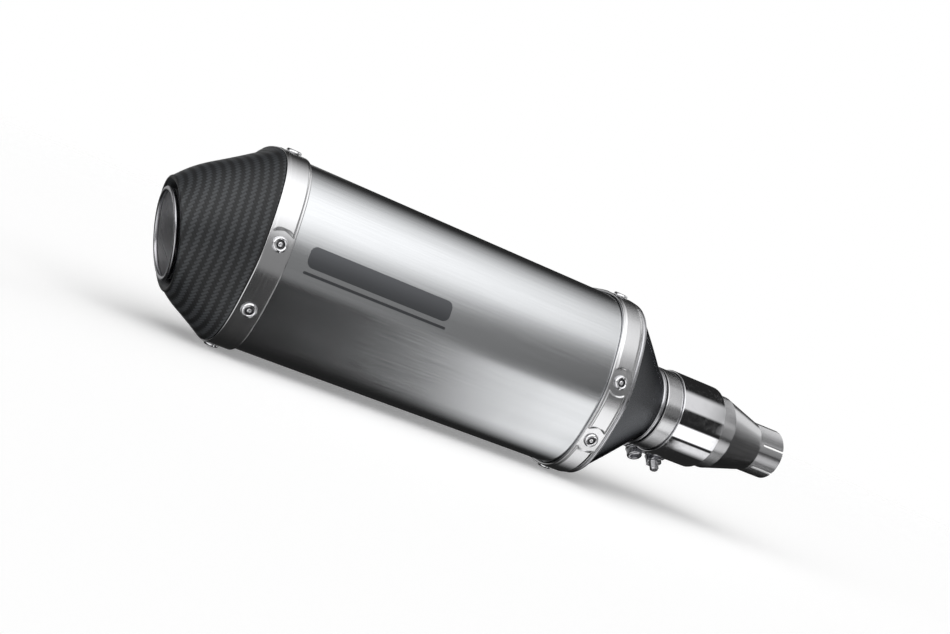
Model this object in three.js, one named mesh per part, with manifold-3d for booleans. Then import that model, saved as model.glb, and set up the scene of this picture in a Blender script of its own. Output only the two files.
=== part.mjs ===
import * as THREE from 'three';
import { mergeVertices } from 'three/addons/utils/BufferGeometryUtils.js';
import Module from 'manifold-3d';

const wasm = await Module();
wasm.setup();

// Slip-on racing silencer. Millimetres. X runs along the inlet axis, +X leaves the inlet,
// the outlet looks toward -X, +Z is up, the flatter side faces -Y.
// The origin is the centre of the reducer's open end face.

// ---- driving dimensions ----
const GAP = 0.3;
const SLEEVE_REAR = -390.3;
const SLEEVE_FRONT = -148.3;
const BAND_THICK = 1.5;
const BAND_WIDTH = 15.1;
const REAR_BAND_X = -390.6;
const FRONT_BAND_X = -163.1;
const EMBOSS = 0.8;
const RIVET_ANGLES = [12, 85, 153, -153, -88, -36];
const RIVET_FLANGE_R = 4.5;
const RIVET_SHANK_R = 1.9;
const RIVET_HOLE_R = 2.3;
const CONE_NECK_X = -110;
const NECK_R = 24.5;
const STUB_R = 26.0;
const STUB_REAR = -105.6;
const STUB_FRONT = -62;
const CLAMP_R = 27.4;
const CLAMP_THICK = 1.1;
const CLAMP_REAR = -93.6;
const CLAMP_FRONT = -60.1;
const CLAMP_DIRECTION = -135;
const EAR_TIP = 38;
const EAR_HALF_GAP = 3.5;
const BOLT_RADIUS = 33;
const BAR_THICK = 3.4;
const BOLT_X = [-86.8, -70.7];
const REDUCER_SMALL_R = 16.6;
const REDUCER_WALL = 1.4;
const REDUCER_END = -92;
const OUTLET_TILT = THREE.MathUtils.degToRad(17.3);
const MOUTH = new THREE.Vector3(-429.8, 0, -10.2);
const OUTLET_R = 24.4;
const OUTLET_INNER_R = 23.0;
const CAP_EDGE_R = 31.9;
const CAP_HOLE_R = 26.3;
const FAR_CORNER = THREE.MathUtils.degToRad(127);
const BEND_X = -390;
const BEND_RADIUS = 45;
const CORE_R = 22.6;
const CORE_INNER_R = 21.4;
const BODY_SLICES = 48;
const INNER_SLICES = 36;
const ROUND_SLICES = 36;

// ---- basic shapes ----
function closed(geometry) {
  geometry.deleteAttribute('normal');
  geometry.deleteAttribute('uv');
  const merged = mergeVertices(geometry, 1e-4);
  const index = merged.index.array;
  const kept = [];
  for (let i = 0; i < index.length; i += 3) {
    const [a, b, c] = [index[i], index[i + 1], index[i + 2]];
    if (a !== b && b !== c && a !== c) {
      kept.push(a, b, c);
    }
  }
  const position = merged.attributes.position;
  const corner = [new THREE.Vector3(), new THREE.Vector3(), new THREE.Vector3()];
  let volume = 0;
  for (let i = 0; i < kept.length; i += 3) {
    for (let k = 0; k < 3; k += 1) {
      corner[k].fromBufferAttribute(position, kept[i + k]);
    }
    volume += corner[0].dot(corner[1].clone().cross(corner[2]));
  }
  if (volume < 0) {
    for (let i = 0; i < kept.length; i += 3) {
      [kept[i + 1], kept[i + 2]] = [kept[i + 2], kept[i + 1]];
    }
  }
  merged.setIndex(kept);
  merged.computeVertexNormals();
  return merged;
}

// A closed tube through a loop of rings; each ring is a function of the angle around the axis.
function loft(rings, slices) {
  const position = [];
  const index = [];
  for (const ring of rings) {
    for (let i = 0; i < slices; i += 1) {
      const point = ring((2 * Math.PI * i) / slices);
      position.push(point.x, point.y, point.z);
    }
  }
  for (let j = 0; j < rings.length; j += 1) {
    const next = (j + 1) % rings.length;
    for (let i = 0; i < slices; i += 1) {
      const side = (i + 1) % slices;
      const a = j * slices + i;
      const b = j * slices + side;
      const c = next * slices + side;
      const d = next * slices + i;
      index.push(a, b, c, a, c, d);
    }
  }
  const geometry = new THREE.BufferGeometry();
  geometry.setAttribute('position', new THREE.Float32BufferAttribute(position, 3));
  geometry.setIndex(index);
  return closed(geometry);
}

// A round ring about the inlet axis from a closed profile of [x, radius] points.
function turned(profile, slices = ROUND_SLICES) {
  const rings = profile.map(([x, radius]) => (theta) => circlePoint(x, radius, theta));
  return loft(rings, slices);
}

// A solid of revolution about local +Y from [radius, height] points that start and end on the axis.
function spun(profile, slices) {
  const points = profile.map(([radius, height]) => new THREE.Vector2(radius, height));
  return closed(new THREE.LatheGeometry(points, slices));
}

function circlePoint(x, radius, theta) {
  return new THREE.Vector3(x, -radius * Math.cos(theta), radius * Math.sin(theta));
}

// ---- the body section: a rounded box-like oval, flatter on the -Y side, squarer on the +Y side ----
function sectionRadius(theta) {
  let radius = 51.1 + 0.3 * Math.cos(theta) - 5.15 * Math.cos(2 * theta)
    - 1.65 * Math.cos(3 * theta) + 0.55 * Math.cos(5 * theta) + 0.5 * Math.cos(6 * theta);
  for (const corner of [FAR_CORNER, -FAR_CORNER]) {
    radius += 8 * Math.exp(9.7 * (Math.cos(theta - corner) - 1));
  }
  return radius;
}

function bodyPoint(x, offset, theta) {
  return circlePoint(x, sectionRadius(theta) + offset, theta);
}

function bodyRing(x, offset) {
  return (theta) => bodyPoint(x, offset, theta);
}

function bodyNormal(theta) {
  const step = 1e-3;
  const along = bodyPoint(0, 0, theta + step).sub(bodyPoint(0, 0, theta - step));
  return new THREE.Vector3(0, -along.z, along.y).normalize().multiplyScalar(
    Math.sign(-along.z * bodyPoint(0, 0, theta).y + along.y * bodyPoint(0, 0, theta).z),
  );
}

function circleRing(x, radius) {
  return (theta) => circlePoint(x, radius, theta);
}

// Point of a ring square to the tilted outlet axis; depth is measured inward from the mouth.
function outletPoint(depth, radius, theta) {
  const inward = new THREE.Vector3(Math.cos(OUTLET_TILT), 0, Math.sin(OUTLET_TILT));
  const up = new THREE.Vector3(-Math.sin(OUTLET_TILT), 0, Math.cos(OUTLET_TILT));
  return MOUTH.clone()
    .addScaledVector(inward, depth)
    .addScaledVector(new THREE.Vector3(0, -1, 0), radius * Math.cos(theta))
    .addScaledVector(up, radius * Math.sin(theta));
}

function outletRing(depth, radius) {
  return (theta) => outletPoint(depth, radius, theta);
}

function mixedRing(first, second, share, swell) {
  return (theta) => {
    const point = first(theta).lerp(second(theta), share);
    const push = swell ? swell(theta) : 0;
    point.y -= push * Math.cos(theta);
    point.z += push * Math.sin(theta);
    return point;
  };
}

// ---- cutting ----
function toManifold(geometry) {
  const clean = closed(geometry.clone());
  return new wasm.Manifold(new wasm.Mesh({
    numProp: 3,
    vertProperties: new Float32Array(clean.attributes.position.array),
    triVerts: new Uint32Array(clean.index.array),
  }));
}

function fromManifold(solid) {
  const mesh = solid.getMesh();
  const geometry = new THREE.BufferGeometry();
  geometry.setAttribute('position', new THREE.Float32BufferAttribute(mesh.vertProperties, 3));
  geometry.setIndex(Array.from(mesh.triVerts));
  return closed(geometry);
}

function cut(geometry, cutters) {
  let solid = toManifold(geometry);
  for (const cutter of cutters) {
    solid = solid.subtract(toManifold(cutter));
  }
  return fromManifold(solid);
}

function rod(centre, direction, radius, length, sides) {
  const geometry = new THREE.CylinderGeometry(radius, radius, length, sides);
  const turn = new THREE.Quaternion().setFromUnitVectors(new THREE.Vector3(0, 1, 0), direction);
  geometry.applyQuaternion(turn);
  geometry.translate(centre.x, centre.y, centre.z);
  return geometry;
}

// Box cutter standing on the inlet axis at an angle, reaching outward.
function slotCutter(xStart, xEnd, width, radius, degrees) {
  const theta = THREE.MathUtils.degToRad(degrees);
  const geometry = new THREE.BoxGeometry(xEnd - xStart, 12, width);
  geometry.translate((xStart + xEnd) / 2, -radius, 0);
  geometry.rotateX(-theta);
  return geometry;
}

// ---- materials and placing ----
function material(color, metalness, roughness) {
  return new THREE.MeshStandardMaterial({ color, metalness, roughness });
}

const group = new THREE.Group();

function piece(parent, name, geometry, look) {
  const mesh = new THREE.Mesh(geometry, material(...look));
  mesh.name = name;
  parent.add(mesh);
  return mesh;
}

const TITANIUM = [0xb9babc, 1, 0.35];
const STEEL = [0xc4c5c7, 1, 0.3];
const CHROME = [0xd8d9db, 1, 0.12];
const DARK_METAL = [0x55565a, 1, 0.45];
const CARBON = [0x1c1d20, 0, 0.35];

// ---- riveted bands, sleeve and rivets ----
function smooth(value, low, high) {
  const t = THREE.MathUtils.clamp((value - low) / (high - low), 0, 1);
  return t * t * (3 - 2 * t);
}

function panelHeight(theta, plain) {
  const angle = THREE.MathUtils.radToDeg(theta);
  let height = angle > plain[0] && angle < plain[1] ? 0 : EMBOSS;
  for (const degrees of RIVET_ANGLES) {
    const turn = theta - THREE.MathUtils.degToRad(degrees);
    const nearest = Math.abs(Math.atan2(Math.sin(turn), Math.cos(turn)));
    height = Math.min(height, EMBOSS * smooth(nearest * sectionRadius(theta), 7, 10.5));
  }
  return height;
}

function embossedRing(x, plain) {
  return (theta) => bodyPoint(x, panelHeight(theta, plain), theta);
}

function rivetHoles(x) {
  return RIVET_ANGLES.map((degrees) => {
    const theta = THREE.MathUtils.degToRad(degrees);
    return rod(bodyPoint(x, 0, theta), bodyNormal(theta), RIVET_HOLE_R, 24, 8);
  });
}

// A band with raised panels between its rivets, except over the plain range of angles.
function bandGeometry(start, plain) {
  const end = start + BAND_WIDTH;
  const rings = [
    bodyRing(start, 0),
    bodyRing(start + 1.8, 0),
    embossedRing(start + 2.8, plain),
    embossedRing(end - 2.8, plain),
    bodyRing(end - 1.8, 0),
    bodyRing(end, 0),
    bodyRing(end, -BAND_THICK),
    bodyRing(start, -BAND_THICK),
  ];
  return cut(loft(rings, BODY_SLICES), rivetHoles(start + BAND_WIDTH / 2));
}

const REAR_RIVET_X = REAR_BAND_X + BAND_WIDTH / 2;
const FRONT_RIVET_X = FRONT_BAND_X + BAND_WIDTH / 2;

const sleeveRings = [
  bodyRing(SLEEVE_REAR, -1.8),
  bodyRing(SLEEVE_FRONT, -1.8),
  bodyRing(SLEEVE_FRONT, -2.7),
  bodyRing(SLEEVE_REAR, -2.7),
];
const sleeveHoles = [...rivetHoles(REAR_RIVET_X), ...rivetHoles(FRONT_RIVET_X)];
piece(group, 'titanium_sleeve', cut(loft(sleeveRings, BODY_SLICES), sleeveHoles), TITANIUM);
piece(group, 'rear_band', bandGeometry(REAR_BAND_X, [-88, 12]), STEEL);
piece(group, 'front_band', bandGeometry(FRONT_BAND_X, [0, 0]), STEEL);

const RIVET_PROFILE = [
  [0, 1.0], [1.0, 1.1], [1.2, 1.8], [2.4, 1.8], [RIVET_FLANGE_R, 0.7],
  [RIVET_FLANGE_R, 0.25], [RIVET_SHANK_R, 0.25], [RIVET_SHANK_R, -5.1], [2.6, -5.5],
  [2.4, -6.8], [0, -7.2],
];

function addRivets(prefix, x) {
  RIVET_ANGLES.forEach((degrees, k) => {
    const theta = THREE.MathUtils.degToRad(degrees);
    const rivet = piece(group, `${prefix}_${k + 1}`, spun(RIVET_PROFILE, 8), STEEL);
    rivet.position.copy(bodyPoint(x, 0, theta));
    rivet.quaternion.setFromUnitVectors(new THREE.Vector3(0, 1, 0), bodyNormal(theta));
  });
}

addRivets('rear_rivet', REAR_RIVET_X);
addRivets('front_rivet', FRONT_RIVET_X);

// ---- front cone, weld ring and inlet collar ----
const coneBase = bodyRing(-144.8, -1.9);
const coneNeck = circleRing(CONE_NECK_X, NECK_R + 0.5);
const coneInnerBase = bodyRing(-147.0, -4.5);
const coneInnerNeck = circleRing(CONE_NECK_X - 1.5, NECK_R - 1.5);
const coneRings = [
  bodyRing(-163, -3.0),
  bodyRing(-147.7, -3.0),
  bodyRing(-147.7, -0.8),
  bodyRing(-147.3, -0.4),
  bodyRing(-145.2, -0.4),
  bodyRing(-144.8, -0.8),
  coneBase,
];
for (const share of [0.33, 0.67]) {
  coneRings.push(mixedRing(coneBase, coneNeck, share, () => 0.5 * Math.sin(Math.PI * share)));
}
coneRings.push(coneNeck, circleRing(-109.6, NECK_R), circleRing(-98, NECK_R));
coneRings.push(circleRing(-98, NECK_R - 1.5), coneInnerNeck);
for (const share of [0.67, 0.33]) {
  coneRings.push(mixedRing(coneInnerBase, coneInnerNeck, share));
}
coneRings.push(coneInnerBase, bodyRing(-163, -4.5));
piece(group, 'front_cone', cut(loft(coneRings, BODY_SLICES), rivetHoles(FRONT_RIVET_X)), DARK_METAL);

piece(group, 'neck_ring', turned([
  [-109.2, NECK_R + GAP], [-106.5, NECK_R + GAP], [-106.5, 25.3],
  [-107.1, 25.7], [-108.6, 25.7], [-109.2, 25.3],
]), STEEL);

const stubCutters = [45, 135, 225, 315].map(
  (degrees) => slotCutter(-90, STUB_FRONT + 5, 2.2, STUB_R, degrees),
);
piece(group, 'inlet_stub', cut(turned([
  [STUB_REAR, STUB_R - 1.2], [STUB_FRONT, STUB_R - 1.2], [STUB_FRONT, STUB_R],
  [STUB_REAR + 0.6, STUB_R], [STUB_REAR, STUB_R - 0.5],
]), stubCutters), STEEL);

// ---- reducer: slotted small end, cone, big end inside the collar ----
const bigR = NECK_R;
const reducerCutters = [20, 80, 140, 200, 260, 320].map(
  (degrees) => slotCutter(-17, 5, 1.6, REDUCER_SMALL_R, degrees),
);
piece(group, 'reducer_adapter', cut(turned([
  [0, REDUCER_SMALL_R - REDUCER_WALL], [0, REDUCER_SMALL_R - 0.3], [-0.3, REDUCER_SMALL_R],
  [-19.7, REDUCER_SMALL_R], [-49, bigR], [REDUCER_END, bigR],
  [REDUCER_END, bigR - REDUCER_WALL], [-49, bigR - REDUCER_WALL],
  [-19.7, REDUCER_SMALL_R - REDUCER_WALL],
]), reducerCutters), STEEL);

// ---- band clamp, built with its gap toward local +Z and turned into place ----
const clamp = new THREE.Group();
clamp.rotation.x = THREE.MathUtils.degToRad(90 - CLAMP_DIRECTION);
group.add(clamp);

const BEND_OUT = THREE.MathUtils.degToRad(15);
const LIFT_START = THREE.MathUtils.degToRad(34);
const LIFT_END = THREE.MathUtils.degToRad(28);

// Inner radius of the band; it stands off near the gap to make room for the tongue.
function clampInner(angle) {
  const fromGap = Math.min(angle, 2 * Math.PI - angle);
  return CLAMP_R - CLAMP_THICK + 0.9 * (1 - smooth(fromGap, LIFT_END, LIFT_START));
}

function clampShape() {
  const steps = 44;
  const points = [[EAR_HALF_GAP, EAR_TIP], [EAR_HALF_GAP, 29.4], [4.6, 27.9]];
  for (let i = 0; i <= steps; i += 1) {
    const angle = BEND_OUT + ((2 * Math.PI - 2 * BEND_OUT) * i) / steps;
    const radius = clampInner(angle);
    points.push([radius * Math.sin(angle), radius * Math.cos(angle)]);
  }
  points.push([-4.6, 27.9], [-EAR_HALF_GAP, 29.4], [-EAR_HALF_GAP, EAR_TIP]);
  points.push([-EAR_HALF_GAP - CLAMP_THICK, EAR_TIP], [-EAR_HALF_GAP - CLAMP_THICK, 30.0]);
  points.push([-6.0, 28.3]);
  for (let i = steps; i >= 0; i -= 1) {
    const angle = BEND_OUT + 0.035 + ((2 * Math.PI - 2 * BEND_OUT - 0.07) * i) / steps;
    const radius = clampInner(angle) + CLAMP_THICK;
    points.push([radius * Math.sin(angle), radius * Math.cos(angle)]);
  }
  points.push([6.0, 28.3], [EAR_HALF_GAP + CLAMP_THICK, 30.0], [EAR_HALF_GAP + CLAMP_THICK, EAR_TIP]);
  return new THREE.Shape(points.map(([y, z]) => new THREE.Vector2(y, z)));
}

// Extrudes a shape drawn in (Y, Z) along X.
function alongX(shape, start, end) {
  const geometry = new THREE.ExtrudeGeometry(shape, {
    depth: end - start,
    bevelEnabled: false,
    curveSegments: 12,
  });
  const turn = new THREE.Matrix4().makeBasis(
    new THREE.Vector3(0, 1, 0),
    new THREE.Vector3(0, 0, 1),
    new THREE.Vector3(1, 0, 0),
  );
  geometry.applyMatrix4(turn);
  geometry.translate(start, 0, 0);
  return geometry;
}

const ACROSS = new THREE.Vector3(0, 1, 0);
const clampHoles = BOLT_X.map(
  (x) => rod(new THREE.Vector3(x, 0, BOLT_RADIUS), ACROSS, 3.4, 60, 16),
);
const clampSolid = cut(alongX(clampShape(), CLAMP_REAR, CLAMP_FRONT), clampHoles);
piece(clamp, 'clamp_band', clampSolid, CHROME);

// The strip that bridges the gap under the ears.
function tongueShape() {
  const points = [];
  const half = THREE.MathUtils.degToRad(23);
  const steps = 10;
  for (let i = 0; i <= steps; i += 1) {
    const angle = -half + (2 * half * i) / steps;
    points.push([26.35 * Math.sin(angle), 26.35 * Math.cos(angle)]);
  }
  for (let i = steps; i >= 0; i -= 1) {
    const angle = -half + (2 * half * i) / steps;
    points.push([26.85 * Math.sin(angle), 26.85 * Math.cos(angle)]);
  }
  return new THREE.Shape(points.map(([y, z]) => new THREE.Vector2(y, z)));
}
piece(clamp, 'clamp_tongue', closed(alongX(tongueShape(), CLAMP_REAR + 1, CLAMP_FRONT - 1)), CHROME);

// Half-round bars that spread the bolt load over the ears.
function barShape(side) {
  const start = EAR_HALF_GAP + CLAMP_THICK + GAP;
  const outline = [
    [start, BOLT_RADIUS - 2.6], [start, BOLT_RADIUS + 4.0], [start + 1.4, BOLT_RADIUS + 3.9],
    [start + 2.6, BOLT_RADIUS + 3.1], [start + BAR_THICK, BOLT_RADIUS + 1.8],
    [start + BAR_THICK, BOLT_RADIUS - 1.9], [start + 2.6, BOLT_RADIUS - 3.2],
    [start + 1.3, BOLT_RADIUS - 3.9],
  ];
  return new THREE.Shape(outline.map(([y, z]) => new THREE.Vector2(side * y, z)));
}
for (const [name, side] of [['clamp_bar_near', 1], ['clamp_bar_far', -1]]) {
  const bar = alongX(barShape(side), CLAMP_REAR + 0.6, CLAMP_FRONT - 0.6);
  piece(clamp, name, cut(bar, clampHoles), STEEL);
}

// Bolts, nuts and washers; a bolt stands with its head toward `side`.
const WASHER_FACE = EAR_HALF_GAP + CLAMP_THICK + GAP + BAR_THICK + GAP;
const WASHER_THICK = 1.0;
const HEAD_FACE = WASHER_FACE + WASHER_THICK + GAP;
const NUT_HEIGHT = 4.5;
const SHANK_END = -(HEAD_FACE + NUT_HEIGHT + 5.6);
const BOLT_PROFILE = [
  [0, HEAD_FACE + 2.5], [2.5, HEAD_FACE + 2.5], [2.6, HEAD_FACE + 5], [4.4, HEAD_FACE + 5],
  [5.0, HEAD_FACE + 4.4], [5.0, HEAD_FACE], [3.0, HEAD_FACE], [3.0, SHANK_END + 0.7],
  [2.3, SHANK_END], [0, SHANK_END],
];
const WASHER_PROFILE = [[3.4, 0], [5.6, 0], [5.6, WASHER_THICK], [3.4, WASHER_THICK]];

function washerGeometry() {
  const geometry = turned(WASHER_PROFILE.map(([radius, height]) => [height, radius]), 20);
  geometry.rotateZ(Math.PI / 2);
  return geometry;
}

function nutGeometry() {
  const outer = new THREE.CylinderGeometry(5.77, 5.77, NUT_HEIGHT, 6);
  const bore = new THREE.CylinderGeometry(3.35, 3.35, NUT_HEIGHT + 2, 16);
  return cut(outer, [bore]);
}

BOLT_X.forEach((x, k) => {
  const side = k === 0 ? 1 : -1;
  const holder = new THREE.Group();
  holder.position.set(x, 0, BOLT_RADIUS);
  holder.rotation.x = side > 0 ? 0 : Math.PI;
  clamp.add(holder);
  piece(holder, `clamp_bolt_${k + 1}`, spun(BOLT_PROFILE, 16), STEEL);
  const headWasher = piece(holder, `clamp_washer_${2 * k + 1}`, washerGeometry(), STEEL);
  headWasher.position.y = WASHER_FACE;
  const nutWasher = piece(holder, `clamp_washer_${2 * k + 2}`, washerGeometry(), STEEL);
  nutWasher.position.y = -WASHER_FACE - WASHER_THICK;
  const nut = piece(holder, `clamp_nut_${k + 1}`, nutGeometry(), STEEL);
  nut.position.y = -HEAD_FACE - NUT_HEIGHT / 2;
});

// ---- inside of the body ----
const holeCutters = [];
for (let row = 0; row < 5; row += 1) {
  for (let k = 0; k < 3; k += 1) {
    const angle = THREE.MathUtils.degToRad(60 * k + (row % 2) * 30);
    const across = new THREE.Vector3(0, Math.cos(angle), Math.sin(angle));
    holeCutters.push(rod(new THREE.Vector3(-345 + row * 38, 0, 0), across, 3.2, 60, 6));
  }
}
piece(group, 'perforated_core', cut(turned([
  [-386, CORE_INNER_R], [-102, CORE_INNER_R], [-102, CORE_R], [-386, CORE_R],
], 36), holeCutters), STEEL);

piece(group, 'steel_wool_wrap', turned([
  [-372, CORE_R + GAP], [-166, CORE_R + GAP], [-166, CORE_R + 1.5], [-372, CORE_R + 1.5],
], 36), DARK_METAL);

piece(group, 'packing', loft([
  bodyRing(-372, -3.2), bodyRing(-166, -5.0), circleRing(-166, CORE_R + 1.8),
  circleRing(-372, CORE_R + 1.8),
], INNER_SLICES), [0xd9d2bd, 0, 0.95]);

piece(group, 'rear_end_plate', loft([
  bodyRing(-378, -5.0), bodyRing(-376, -5.0), circleRing(-376, OUTLET_R + GAP),
  circleRing(-378, OUTLET_R + GAP),
], INNER_SLICES), STEEL);

// ---- outlet tube: straight, a bend of 17 degrees down, straight to the mouth, rolled lip ----
function bendRing(share, radius) {
  const angle = OUTLET_TILT * share;
  const centre = new THREE.Vector3(
    BEND_X - BEND_RADIUS * Math.sin(angle), 0, -BEND_RADIUS * (1 - Math.cos(angle)),
  );
  const up = new THREE.Vector3(-Math.sin(angle), 0, Math.cos(angle));
  return (theta) => centre.clone()
    .addScaledVector(new THREE.Vector3(0, -1, 0), radius * Math.cos(theta))
    .addScaledVector(up, radius * Math.sin(theta));
}
const outletRings = [circleRing(-373, OUTLET_R)];
for (const share of [0, 0.33, 0.67, 1]) {
  outletRings.push(bendRing(share, OUTLET_R));
}
outletRings.push(outletRing(1.6, OUTLET_R), outletRing(0.8, 25.3), outletRing(0, 25.7));
outletRings.push(outletRing(-0.8, 25.5), outletRing(-1.2, 24.8), outletRing(-1.2, 24.0));
outletRings.push(outletRing(-0.7, 23.3), outletRing(0.4, OUTLET_INNER_R));
for (const share of [1, 0.67, 0.33, 0]) {
  outletRings.push(bendRing(share, OUTLET_INNER_R));
}
outletRings.push(circleRing(-373, OUTLET_INNER_R));
piece(group, 'outlet_tube', loft(outletRings, ROUND_SLICES), STEEL);

// ---- carbon outlet cap ----
const capBase = bodyRing(-390.9, -0.4);
const capLip = outletRing(2.4, CAP_EDGE_R);
const capInnerBase = bodyRing(-392.6, -2.3);
const capInnerLip = outletRing(4.2, CAP_EDGE_R - 1.9);

// Departure from a straight loft: fuller toward the mouth, and a shallow step down from the
// band over the upper far corner.
function capSwell(theta, share) {
  const lift = Math.sin(theta);
  const height = 0.8 + 1.4 * Math.max(0, lift) ** 2;
  const turn = Math.atan2(Math.sin(theta), Math.cos(theta));
  const upperFar = smooth(turn, 1.1, 1.9);
  const step = 2.2 * upperFar * Math.exp(-share / 0.35) * smooth(share, 0, 0.06);
  return height * Math.sin(Math.PI * share ** 2.4) - step;
}

const capRings = [bodyRing(-374, -3.0), bodyRing(-390.9, -3.0), capBase];
for (const share of [0.06, 0.25, 0.45, 0.65, 0.82, 0.93]) {
  capRings.push(mixedRing(capBase, capLip, share, (theta) => capSwell(theta, share)));
}
capRings.push(capLip, outletRing(1.3, CAP_EDGE_R - 0.3), outletRing(0.9, CAP_EDGE_R - 1.0));
capRings.push(outletRing(1.1, CAP_EDGE_R - 1.9), outletRing(2.4, 28.4), outletRing(3.8, 27.0));
capRings.push(outletRing(5.6, CAP_HOLE_R), outletRing(7.2, CAP_HOLE_R), outletRing(6.0, 27.5));
capRings.push(outletRing(4.8, 28.7), capInnerLip);
for (const share of [0.82, 0.45, 0.06]) {
  capRings.push(mixedRing(capInnerBase, capInnerLip, share, (theta) => capSwell(theta, share) - 0.1));
}
capRings.push(capInnerBase, bodyRing(-391.6, -4.6), bodyRing(-374, -4.6));

const capHoles = rivetHoles(REAR_RIVET_X);
piece(group, 'carbon_end_cap', cut(loft(capRings, BODY_SLICES), capHoles), CARBON);

// ---- removable sound baffle on the outlet axis ----
piece(group, 'baffle_flange', loft([
  outletRing(16, 13.0), outletRing(16, 21.6), outletRing(16.8, CORE_R), outletRing(27, CORE_R),
  outletRing(27, CORE_INNER_R), outletRing(17.6, CORE_INNER_R), outletRing(17.6, 13.7),
  outletRing(17.0, 13.0),
], ROUND_SLICES), STEEL);
piece(group, 'baffle_tube', loft([
  outletRing(17.95, 13.4), outletRing(56, 13.4), outletRing(56, 12.2), outletRing(14, 12.2),
  outletRing(14, 12.65), outletRing(17.95, 12.65),
], ROUND_SLICES), STEEL);
piece(group, 'baffle_circlip', loft([
  outletRing(14.2, CORE_R), outletRing(15.4, CORE_R), outletRing(15.4, 20.9), outletRing(14.2, 20.9),
], 36), DARK_METAL);

export default group;
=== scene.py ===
import math

import bmesh
import bpy
import numpy as np
from mathutils import Matrix, Vector


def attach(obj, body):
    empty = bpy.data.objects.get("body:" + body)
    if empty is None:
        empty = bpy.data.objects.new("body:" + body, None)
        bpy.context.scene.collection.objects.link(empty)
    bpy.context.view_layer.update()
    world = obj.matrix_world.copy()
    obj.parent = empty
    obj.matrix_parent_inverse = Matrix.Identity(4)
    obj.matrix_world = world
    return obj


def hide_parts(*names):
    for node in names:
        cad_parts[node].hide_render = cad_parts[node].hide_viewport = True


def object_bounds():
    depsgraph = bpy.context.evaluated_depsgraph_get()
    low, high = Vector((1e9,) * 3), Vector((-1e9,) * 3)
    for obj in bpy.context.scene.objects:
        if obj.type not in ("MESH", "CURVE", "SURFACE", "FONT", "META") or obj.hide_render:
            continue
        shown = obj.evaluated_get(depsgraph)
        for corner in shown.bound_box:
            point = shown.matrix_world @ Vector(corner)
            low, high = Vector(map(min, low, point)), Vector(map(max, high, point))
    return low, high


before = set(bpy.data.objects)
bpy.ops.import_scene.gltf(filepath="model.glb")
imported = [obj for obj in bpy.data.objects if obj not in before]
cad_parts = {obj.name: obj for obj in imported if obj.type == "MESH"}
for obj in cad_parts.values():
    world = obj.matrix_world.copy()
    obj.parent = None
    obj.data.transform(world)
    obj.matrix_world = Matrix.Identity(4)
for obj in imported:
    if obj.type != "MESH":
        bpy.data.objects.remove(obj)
cad_low, cad_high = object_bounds()

MM = 0.001
PI = math.pi
FAR_CORNER = math.radians(127)
TILT = math.radians(17.3)
MOUTH = np.array([-429.8, 0.0, -10.2])
RIVET_ANGLES = [12, 85, 153, -153, -88, -36]
BAND_WIDTH = 15.1
REAR_BAND = -390.6
FRONT_BAND = -163.1
EMBOSS = 0.4


# ---------------------------------------------------------------- shapes
def section(theta):
    radius = (51.1 + 0.3 * np.cos(theta) - 5.15 * np.cos(2 * theta) - 1.65 * np.cos(3 * theta)
              + 0.55 * np.cos(5 * theta) + 0.5 * np.cos(6 * theta))
    for corner in (FAR_CORNER, -FAR_CORNER):
        radius = radius + 8 * np.exp(9.7 * (np.cos(theta - corner) - 1))
    return radius


def angles(count):
    return np.linspace(-PI, PI, count, endpoint=False)


def around(x, radius, theta):
    """Ring about the inlet axis; x and radius may vary with theta."""
    x = np.broadcast_to(np.asarray(x, float), theta.shape)
    return np.stack([x, -radius * np.cos(theta), radius * np.sin(theta)], -1)


def body_ring(x, offset, theta):
    return around(x, section(theta) + offset, theta)


def outlet_ring(depth, radius, theta):
    """Ring square to the tilted outlet axis, depth measured inward from the mouth."""
    inward = np.array([math.cos(TILT), 0, math.sin(TILT)])
    up = np.array([-math.sin(TILT), 0, math.cos(TILT)])
    side = np.array([0, -1.0, 0])
    radius = np.broadcast_to(np.asarray(radius, float), theta.shape)
    return (MOUTH + depth * inward + (radius * np.cos(theta))[:, None] * side
            + (radius * np.sin(theta))[:, None] * up)


def smooth(value, low, high):
    t = np.clip((value - low) / (high - low), 0, 1)
    return t * t * (3 - 2 * t)


def push(ring, amount, theta):
    moved = ring.copy()
    moved[:, 1] -= amount * np.cos(theta)
    moved[:, 2] += amount * np.sin(theta)
    return moved


def section_normal(theta):
    """Outward normal of the body section at one angle."""
    step = 1e-3
    a, b = (body_ring(0, 0, np.array([theta + s]))[0] for s in (-step, step))
    along = b - a
    normal = np.array([0, -along[2], along[1]])
    centre = body_ring(0, 0, np.array([theta]))[0]
    normal = normal * np.sign(normal @ centre)
    return normal / np.linalg.norm(normal)


# ---------------------------------------------------------------- meshes
def finish_mesh(name, points, faces, flow, sharp):
    mesh = bpy.data.meshes.new(name)
    mesh.from_pydata([tuple(p) for p in points], [], [tuple(f) for f in faces])
    layer = mesh.uv_layers.new(name="flow")
    layer.data.foreach_set("uv", np.asarray(flow, np.float32).ravel())
    mesh.shade_smooth()
    if sharp:
        mesh.set_sharp_from_angle(angle=math.radians(sharp))
    mesh.validate()
    return mesh


def face_outward(mesh):
    """Turns every face of a closed mesh outward and returns the mesh."""
    shape = bmesh.new()
    shape.from_mesh(mesh)
    bmesh.ops.recalc_face_normals(shape, faces=shape.faces)
    shape.to_mesh(mesh)
    shape.free()
    return mesh


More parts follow.
